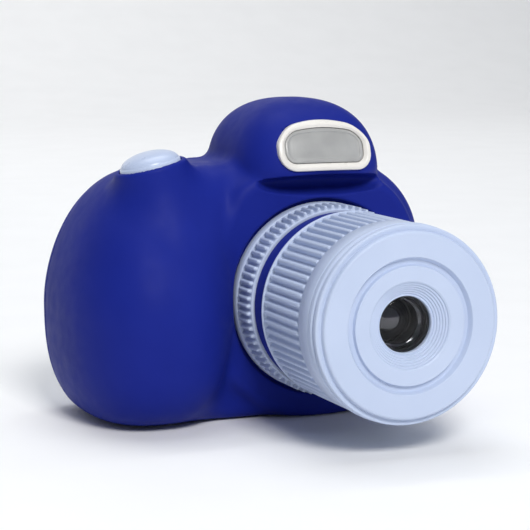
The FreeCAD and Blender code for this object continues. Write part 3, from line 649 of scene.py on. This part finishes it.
def speaker_grille():
    """Round insert with two rings of sound holes, set flush in the back."""
    holes = [SPEAKER_CENTRE]
    for ring, count in ((2.0, 6), (4.0, 12)):
        for k in range(count):
            turn = 2 * math.pi * k / count
            holes.append((SPEAKER_CENTRE[0] + ring * math.cos(turn),
                          SPEAKER_CENTRE[1] + ring * math.sin(turn)))

    def field(x, y, z):
        disc = np.hypot(x - SPEAKER_CENTRE[0], z - SPEAKER_CENTRE[1]) - 5.5
        form = slab(disc, np.abs(y - 18.85) - 0.6, 0.2)
        for hole in holes:
            form = cut(form, np.hypot(x - hole[0], z - hole[1]) - 0.5, 0.2)
        return form

    x, z = SPEAKER_CENTRE
    step = 0.14
    return formed("speaker_grille", field, (x - 6, 17.9, z - 6), (x + 6, 19.8, z + 6), step)


# ---- lens -----------------------------------------------------------------

def lens_neck():
    outline = [(17.5, -61.6), (20.3, -61.6), (20.3, -34.35), (21.3, -34.35), (21.3, -28.45), (20.3, -28.45),
               (20.3, -17.6), (17.5, -17.6)]
    piece = lathe("lens_neck_tube", rounded_corners(outline, [0.1, 0.1, 0.1, 0.35, 0.35, 0.1, 0.1, 0.1]))
    finish_piece(piece, "camera_body", "lens_neck", BLUE)


def rib_height(along, around, span, half_width):
    """Height, from 0 to 1, of straight ribs with round ends."""
    centre = (span[0] + span[1]) / 2
    half = abs(span[1] - span[0]) / 2
    beyond = np.maximum(np.abs(along - centre) - half + half_width, 0) / half_width
    away = np.sqrt((around / half_width) ** 2 + beyond ** 2)
    return np.maximum(1 - away ** 2.6, 0) ** 0.55


def ribbed_ring(name, rib_count, ends, radius, root, span, half_width):
    """Ring with a smooth lip at each end and ribs between, on a plain bore."""
    per_rib = 16
    segments = rib_count * per_rib
    rear, front = ends
    rib_rear, rib_front = span
    edge = 0.45
    corner = [edge * (1 - math.cos(math.pi / 2 * k / 5)) for k in range(6)]
    inward = [edge * (1 - math.sin(math.pi / 2 * k / 5)) for k in range(6)]
    rows = [(rear - c, radius - i) for c, i in zip(corner, inward)]
    slope = [(0.30, 0.0), (0.22, 0.08), (0.12, 0.3), (0.04, 0.7), (0.0, 1.0)]
    rows += [(rib_rear + 0.25 + d, radius - (radius - root) * s) for d, s in slope]
    steps = 48
    grid = [0.5 - 0.5 * math.cos(math.pi * (k + 1) / (steps + 1)) for k in range(steps)]
    rows += [(rib_rear + (rib_front - rib_rear) * (0.35 * k + 0.65 * g), root)
             for k, g in zip(np.linspace(0.01, 0.99, steps), grid)]
    if rib_front - front > 1.0:
        rows += [(rib_front - 0.25 - d, radius - (radius - root) * s) for d, s in reversed(slope)]
        rows += [(front + c, radius - i) for c, i in reversed(list(zip(corner, inward)))]
    else:
        rows += [(front + 0.6 * c, root - 0.6 * i) for c, i in reversed(list(zip(corner, inward)))]
    turn = 2 * np.pi * np.arange(segments) / segments
    pitch = 2 * np.pi / rib_count
    around = (np.mod(turn + pitch / 2, pitch) - pitch / 2) * radius
    levels = []
    for y, base in rows:
        rise = 0.0
        if rib_front < y < rib_rear:
            rise = rib_height(y, around, span, half_width) * (radius + 0.02 - root)
        levels.append((y, base + rise))
    levels += [(front, RING_BORE), (rear, RING_BORE)]
    points = [np.stack([r * np.cos(turn), np.full(segments, y), LENS_Z + r * np.sin(turn)], axis=1)
              for y, r in levels]
    faces = [strip(i, (i + 1) % len(points), segments) for i in range(len(points))]
    return facing_out(mesh_object(name, np.concatenate(points), np.concatenate(faces)))


def lens_rings():
    zoom = ribbed_ring("zoom_ring_ribbed", ZOOM_RIB_COUNT, (-17.9, -28.2), ZOOM_RADIUS,
                       ZOOM_RADIUS - RIB_HEIGHT, (-21.6, -27.8), 0.52)
    finish_piece(zoom, "zoom", "zoom_ring", PALE)
    focus = ribbed_ring("focus_ring_ribbed", FOCUS_RIB_COUNT, (-34.65, -61.3), FOCUS_RADIUS,
                        FOCUS_RADIUS - RIB_HEIGHT, (-36.0, -55.6), 0.68)
    finish_piece(focus, "focus", "focus_ring", PALE)


def lens_front():
    rim = [(17.5, -61.6), (RIM_RADIUS, -61.6), (RIM_RADIUS, -63.35), (21.3, -63.75), (21.3, -63.95),
           (17.5, -63.95)]
    piece = lathe("front_rim_ring", rounded_corners(rim, [0.1, 0.55, 0.5, 0.1, 0.05, 0.1]))
    finish_piece(piece, "camera_body", "front_rim", PALE)
    face = [(6.3, -63.1), (20.5, -63.1), (20.5, -64.02), (22.25, -64.02), (22.25, -65.7), (20.95, -65.45),
            (20.8, -66.9), (15.2, -66.9), (14.6, -65.6), (13.5, -65.6), (13.3, -66.6), (9.95, -66.5)]
    radii = [0.1, 0.1, 0.1, 0.4, 0.6, 0.12, 0.7, 0.2, 0.15, 0.15, 0.2, 0.2]
    step_count = 6
    for k in range(step_count):
        radius = 9.6 - k * 0.52
        depth = -66.3 + k * 0.38
        face += [(radius, depth), (radius - 0.16, depth + 0.38)]
        radii += [0.09, 0.09]
    face += [(6.5, -64.25), (6.3, -64.0)]
    radii += [0.12, 0.12]
    piece = lathe("front_face", rounded_corners(face, radii))
    finish_piece(piece, "camera_body", "front_plate", PALE)


def lens_optics():
    """Domed front glass over a stepped black well with a second, coated element."""
    arc = [(6.2 * math.sin(a), -64.5 + 1.2 * (1 - math.cos(a))) for a in np.linspace(1.45, 0.0, 14)]
    piece = lathe("front_glass", [(0.0, -63.0), (6.2, -63.0)] + arc[:-1] + [(0.0, -64.5)], 128)
    finish_piece(piece, "camera_body", "lens_glass", GLASS)
    well = [(0.0, -51.0), (7.6, -51.0), (7.6, -62.6), (6.6, -62.6), (6.1, -60.6), (5.9, -60.6), (5.3, -58.6),
            (5.0, -58.6), (4.6, -56.9), (4.2, -56.9), (4.0, -55.6), (0.0, -55.6)]
    radii = [0, 0.3, 0.3, 0.3, 0.1, 0.1, 0.1, 0.1, 0.1, 0.1, 0.1, 0]
    piece = lathe("camera_turret", rounded_corners(well, radii), 128)
    finish_piece(piece, "camera_body", "camera_module", BLACK)
    bead = [(0.0, -56.0), (4.1, -56.0)]
    bead += [(4.1 * math.cos(a), -56.2 - 2.6 * math.sin(a)) for a in np.linspace(0.05, math.pi / 2, 20)[:-1]]
    piece = lathe("second_element", bead + [(0.0, -58.8)], 96)
    finish_piece(piece, "camera_body", None, COATED)
    bowl = [(6.5, -62.7), (6.2, -62.7)]
    bowl += [(4.6 + 1.6 * math.sin(a), -60.3 - 2.3 * math.sin(a) ** 2) for a in np.linspace(1.45, 0.0, 12)]
    piece = lathe("polished_rim", bowl + [(4.6, -59.9), (6.5, -59.9)], 128)
    finish_piece(piece, "camera_body", None, COATED)


def coated_element(name):
    """Dark glass with the violet and green tint of a lens coating."""
    m = Nodes(name)
    m.link(m.ramp(m.noise(400, detail=2), [(0.35, (0.010, 0.006, 0.016)), (0.65, (0.006, 0.014, 0.012))]),
           m.shader.inputs["Base Color"])
    m.link(m.spread(m.noise(300), 0.02, 0.06), m.shader.inputs["Roughness"])
    m.shader.inputs["Specular IOR Level"].default_value = 0.9
    m.shader.inputs["Coat Weight"].default_value = 1.0
    m.shader.inputs["Coat Roughness"].default_value = 0.02
    return m.material


COATED = coated_element("coated_element")


# ---- flash ----------------------------------------------------------------

def flash_points(inset, count=200):
    """Closed outline of the flash window: arched top, flatter foot with tighter corners."""
    half_w, half_h = FLASH_HALF[0] - inset, FLASH_HALF[1] - inset
    corners = [(half_w, half_h, 5.4 - inset, 0), (-half_w, half_h, 5.4 - inset, 1),
               (-half_w, -half_h, 4.6 - inset, 2), (half_w, -half_h, 4.0 - inset, 3)]
    points = []
    for x, z, radius, quarter in corners:
        centre = (x - math.copysign(radius, x), z - math.copysign(radius, z))
        for k in range(13):
            turn = math.pi / 2 * (quarter + k / 12)
            points.append((centre[0] + radius * math.cos(turn), centre[1] + radius * math.sin(turn)))
    points = np.array(points + points[:1])
    length = np.concatenate([[0], np.cumsum(np.linalg.norm(np.diff(points, axis=0), axis=1))])
    at = np.linspace(0, length[-1], count, endpoint=False)
    u = np.interp(at, length, points[:, 0])
    v = np.interp(at, length, points[:, 1])
    share = np.clip(v / FLASH_HALF[1] + 0.35, 0, 1.35) / 1.35
    arch = share * 2.6 * np.abs(u / FLASH_HALF[0]) ** 2.0
    foot = np.where(v < 0, -v / FLASH_HALF[1], 0.0) * 0.25 * (1 - (u / FLASH_HALF[0]) ** 2)
    return u, v - arch + foot


def flash_front(u, v):
    """Y of the flash frame's front, which leans back with the hump but curves less across it."""
    z = v + FLASH_CENTRE[1]
    rise = np.clip((z - HUMP_FOOT_Z) / HUMP_RISE, 0, 0.98)
    hump = HUMP_CENTRE_Y - HUMP_HALF_Y * (1 - rise ** HUMP_POWER) ** (1 / HUMP_POWER)
    return hump - 0.9 + 0.0075 * u ** 2


def flash_sweep(name, profile):
    """Closed frame: the profile is a list of (distance inwards, depth behind the front)."""
    rings = []
    for inset, depth in profile:
        u, v = flash_points(inset)
        rings.append(np.stack([u + FLASH_CENTRE[0], flash_front(u, v) + depth, v + FLASH_CENTRE[1]], axis=1))
    faces = [strip(i, (i + 1) % len(rings), len(rings[0])) for i in range(len(rings))]
    return even_shading(facing_out(mesh_object(name, np.concatenate(rings), np.concatenate(faces))))


def flash_frame():
    frame_profile = rounded_corners([(0.0, 5.2), (0.0, 0.0), (0.95, 0.0), (1.75, 0.75), (1.85, 5.2)],
                                    [0.05, 0.55, 0.5, 0.25, 0.05])
    piece = flash_sweep("flash_frame", [tuple(p) for p in frame_profile])
    finish_piece(piece, "camera_body", "flash_bezel", CREAM)


def flash_window():
    """Window in the frame; each level is (distance inwards, depth behind the front, scale)."""
    levels = [(1.9, 2.4, 1), (1.9, 0.95, 1), (2.0, 0.85, 1), (2.5, 0.84, 1), (2.65, 0.9, 1), (2.8, 1.15, 1),
              (2.95, 1.22, 1), (3.3, 1.22, 1), (3.3, 1.2, 0.85), (3.3, 1.17, 0.65), (3.3, 1.15, 0.4),
              (3.3, 1.14, 0.2)]
    rings = []
    for inset, depth, shrink in levels:
        u, v = flash_points(inset)
        u, v = u * shrink, v * shrink
        rings.append(np.stack([u + FLASH_CENTRE[0], flash_front(u, v) + depth, v + FLASH_CENTRE[1]], axis=1))
    count = len(rings[0])
    faces = []
    for i in range(len(rings) - 1):
        faces += strip(i, i + 1, count).tolist()
    last = (len(rings) - 1) * count
    faces.append(list(range(last, last + count)))
    faces.append(list(range(count))[::-1])
    piece = even_shading(facing_out(mesh_object("flash_window", np.concatenate(rings), faces)))
    finish_piece(piece, "camera_body", "flash_diffuser", DIFFUSER)


# ---- shutter button -------------------------------------------------------

def shutter_button():
    """Domed cap with a soft edge, a skirt and a stem, set on the button's own axis."""
    radius = SHUTTER_RADIUS
    outline = [(0.0, -8.0), (2.0, -8.0), (2.6, -6.6), (2.6, -0.4), (5.9, -0.4), (5.9, -1.9), (radius, -1.9),
               (radius, DOME_BASE)]
    radii = [0, 0.2, 0.2, 0.2, 0.2, 0.2, 0.2, 0.0]
    outline = [tuple(p) for p in rounded_corners(outline, radii)][:-1]
    outline += [(radius - 0.05, DOME_BASE + 0.14), (radius - 0.22, DOME_BASE + 0.2)]
    for a in np.linspace(0.08, math.pi / 2, 22):
        outline.append(((radius - 0.3) * math.cos(a), DOME_BASE + DOME_RISE * math.sin(a)))
    segments = 128
    up = Vector(SHUTTER_AXIS)
    turn_to_axis = up.to_track_quat("Z", "Y").to_matrix()
    points = []
    faces = []
    count = len(outline)
    for s in range(segments):
        turn = 2 * math.pi * s / segments
        for reach, height in outline:
            local = Vector((reach * math.cos(turn), reach * math.sin(turn), height))
            points.append(tuple(turn_to_axis @ local + Vector(SHUTTER_SEAT)))
    for s in range(segments):
        after = (s + 1) % segments
        for i in range(count - 1):
            faces.append((s * count + i, after * count + i, after * count + i + 1, s * count + i + 1))
    piece = facing_out(mesh_object("shutter_dome", points, faces))
    finish_piece(piece, "shutter", "shutter_button", KEY_PALE)


# ---- back -----------------------------------------------------------------

def triangle(p, q, size):
    """Distance-like field of a small triangle that points along +q."""
    slope = 0.866 * np.abs(p) + 0.5 * q - 0.5 * size
    return np.maximum(slope, -q - 0.5 * size)


def key_mark(name, p, q):
    """Generic sign pressed into a key's face."""
    if name == "up_button":
        return triangle(p, q, 1.3)
    if name == "down_button":
        return triangle(p, -q, 1.3)
    if name == "left_button":
        return triangle(q, -p, 1.3)
    if name == "right_button":
        return triangle(q, p, 1.3)
    if name == "play_button":
        return triangle(q, p, 1.5)
    if name == "ok_button":
        return np.abs(np.hypot(p, q) - 1.5) - 0.22
    if name == "power_button":
        ring = np.maximum(np.abs(np.hypot(p, q) - 1.15) - 0.17, np.minimum(q, 0.45 - np.abs(p)))
        return np.minimum(ring, np.maximum(np.abs(p) - 0.17, np.abs(q - 0.95) - 0.75))
    frame_mark = np.abs(rounded_rectangle(p, q, 1.3, 0.95, 0.3)) - 0.15
    return np.minimum(frame_mark, np.hypot(p, q) - 0.4)


def rear_keys():
    for name, (key_x, key_z, radius) in KEYS.items():
        def field(x, y, z):
            across = np.hypot(x - key_x, z - key_z)
            crown = 0.35 * (across / radius) ** 2
            cap = slab(across - radius, np.maximum(y - 20.6 + crown, 16.6 - y), 0.45)
            flange = slab(across - radius - 0.7, np.abs(y - 16.6) - 0.6, 0.15)
            mark = np.maximum(key_mark(name, key_x - x, z - key_z), 20.3 - crown - y)
            return cut(np.minimum(cap, flange), mark, 0.12)

        reach = radius + 1.1
        low = (key_x - reach, 15.6, key_z - reach)
        high = (key_x + reach, 21.0, key_z + reach)
        piece = formed(name + "_cap", field, low, high, 0.13)
        finish_piece(piece, name.replace("_button", "_key"), name, KEY_PALE)


def screen():
    centre_x, centre_z = SCREEN_CENTRE
    half_x, half_z = PANE_HALF

    def field(x, y, z):
        outline = rounded_rectangle(x - centre_x, z - centre_z, half_x, half_z, 3.0)
        return slab(outline, np.abs(y - 18.85) - 0.52, 0.3)

    low = (centre_x - half_x - 0.6, 17.9, centre_z - half_z - 0.6)
    high = (centre_x + half_x + 0.6, 19.8, centre_z + half_z + 0.6)
    piece = formed("screen_glass", field, low, high, 0.35)
    finish_piece(piece, "camera_body", "screen_window", PANE)


def screw_heads():
    """Pan heads with a cross slot, down their counterbores in the back."""
    points = []
    faces = []
    for centre in CASE_SCREWS:
        def field(x, y, z):
            across = np.hypot(x - centre[0], z - centre[1])
            head = slab(across - 1.9, np.maximum(y - 17.8 + 0.12 * across ** 2, 16.3 - y), 0.2)
            form = np.minimum(head, np.maximum(across - 1.0, np.maximum(y - 16.6, 1.0 - y)))
            p, q = x - centre[0], z - centre[1]
            cross = np.minimum(np.maximum(np.abs(p) - 0.24, np.abs(q) - 1.15),
                               np.maximum(np.abs(q) - 0.24, np.abs(p) - 1.15))
            return cut(form, np.maximum(cross, 16.9 - y), 0.08)

        low = (centre[0] - 2.3, 0.6, centre[1] - 2.3)
        high = (centre[0] + 2.3, 18.2, centre[1] + 2.3)
        spots, quads = surface_net(field, low, high, 0.14)
        faces.append(quads + sum(len(p) for p in points))
        points.append(spots)
    piece = mesh_object("case_screw_set", np.concatenate(points), np.concatenate(faces))
    finish_piece(piece, "camera_body", "case_screws", STEEL)


# ---- port cover -----------------------------------------------------------

def port_cover():
    """Soft flap with a rolled hinge edge and a pull ridge."""
    def field(x, y, z):
        plate = block(x, y, z, (28.5, -1.2, 20.5), (29.7, 9.7, 39.5), 0.35)
        barrel = slab(np.hypot(x - HINGE[0], y - HINGE[1]) - 0.85, np.abs(z - 30) - 9.5, 0.2)
        ridge = block(x, y, z, (29.2, 8.2, 26.0), (30.25, 9.3, 34.0), 0.4)
        return join(join(plate, barrel, 0.3), ridge, 0.5)

    piece = formed("side_flap", field, (27.6, -2.5, 19.9), (30.7, 10.3, 40.1), 0.2)
    finish_piece(piece, "cover", "port_cover", RUBBER)


# ---- carried-over CAD nodes -------------------------------------------------

def dress_cad_nodes():
    """Gives every CAD node the material of its record slot."""
    slots = {part["node"]: part["material_slot"] for part in frame["record"]["subparts"]}
    for name, node in frame["nodes"].items():
        node.data.materials.clear()
        node.data.materials.append(SLOT_MATERIALS[slots[name]])


# ---- stage, light and camera ------------------------------------------------

def backdrop_material():
    m = Nodes("pale_paper")
    m.link(m.ramp(m.noise(30, detail=3), [(0.3, (0.94, 0.935, 0.925)), (0.7, (0.96, 0.955, 0.945))]),
           m.shader.inputs["Base Color"])
    m.link(m.spread(m.noise(200), 0.75, 0.85), m.shader.inputs["Roughness"])
    return m.material


def backdrop():
    """Pale paper that lies flat and curves up behind the object."""
    half_width = 3.0
    front_y, bend_y, bend_radius, top = -2.5, 1.2, 0.8, 2.6
    line = [(front_y, 0.0), (-0.6, 0.0), (0.4, 0.0), (bend_y, 0.0)]
    for k in range(1, 13):
        turn = math.pi / 2 * k / 12
        line.append((bend_y + bend_radius * math.sin(turn), bend_radius * (1 - math.cos(turn))))
    line.append((bend_y + bend_radius, top))
    points = []
    for y, z in line:
        points.append((-half_width / MM, y / MM, z / MM))
        points.append((half_width / MM, y / MM, z / MM))
    faces = [(2 * i, 2 * i + 1, 2 * i + 3, 2 * i + 2) for i in range(len(line) - 1)]
    paper = mesh_object("paper_floor", points, faces)
    paper.data.materials.append(backdrop_material())


def softbox(name, place, target, size, power, colour=(1, 1, 1)):
    lamp = bpy.data.lights.new(name, "AREA")
    lamp.shape = "RECTANGLE"
    lamp.size = size[0]
    lamp.size_y = size[1]
    lamp.energy = power
    lamp.color = colour
    holder = bpy.data.objects.new(name, lamp)
    bpy.context.scene.collection.objects.link(holder)
    holder.location = place
    aim = Vector(target) - Vector(place)
    holder.rotation_euler = aim.to_track_quat("-Z", "Y").to_euler()


def lighting():
    middle = (-0.015, -0.02, 0.035)
    softbox("key", (-0.12, -0.88, 0.72), middle, (0.32, 0.32), 8.6, (1.0, 0.99, 0.965))
    softbox("fill", (0.75, -0.55, 0.30), middle, (0.5, 0.6), 0.9, (0.86, 0.91, 1.0))
    softbox("top", (0.0, 0.10, 0.95), middle, (0.6, 0.6), 2.6, (0.9, 0.94, 1.0))
    softbox("paper", (0.0, 0.55, 1.5), (0.0, 2.0, 0.6), (1.6, 0.6), 19.0)
    world = bpy.data.worlds.new("studio")
    world.use_nodes = True
    world.node_tree.nodes["Background"].inputs["Color"].default_value = (0.80, 0.87, 1.0, 1)
    world.node_tree.nodes["Background"].inputs["Strength"].default_value = 0.24
    bpy.context.scene.world = world


def camera():
    """View from the front left, a little above, as wide as the object needs."""
    azimuth, elevation, distance = math.radians(-22.4), math.radians(7.65), 0.45
    target = Vector((-0.011, -0.010, 0.0365))
    back = Vector((math.sin(azimuth) * math.cos(elevation), -math.cos(azimuth) * math.cos(elevation),
                   math.sin(elevation)))
    lens = bpy.data.cameras.new("view")
    lens.sensor_width = 36.0
    lens.lens = 125.8
    lens.clip_start = 0.01
    holder = bpy.data.objects.new("view", lens)
    bpy.context.scene.collection.objects.link(holder)
    right = Vector((math.cos(azimuth), math.sin(azimuth), 0))
    up = back.cross(right)
    facing = Matrix((right, up, back)).transposed().to_4x4()
    holder.matrix_world = Matrix.Translation(target + back * distance) @ facing
    bpy.context.scene.camera = holder


def main():
    bpy.context.scene.view_settings.view_transform = "Standard"
    dress_cad_nodes()
    casing()
    lens_neck()
    lens_rings()
    lens_front()
    lens_optics()
    flash_frame()
    flash_window()
    shutter_button()
    rear_keys()
    screen()
    screw_heads()
    port_cover()
    backdrop()
    lighting()
    camera()


main()
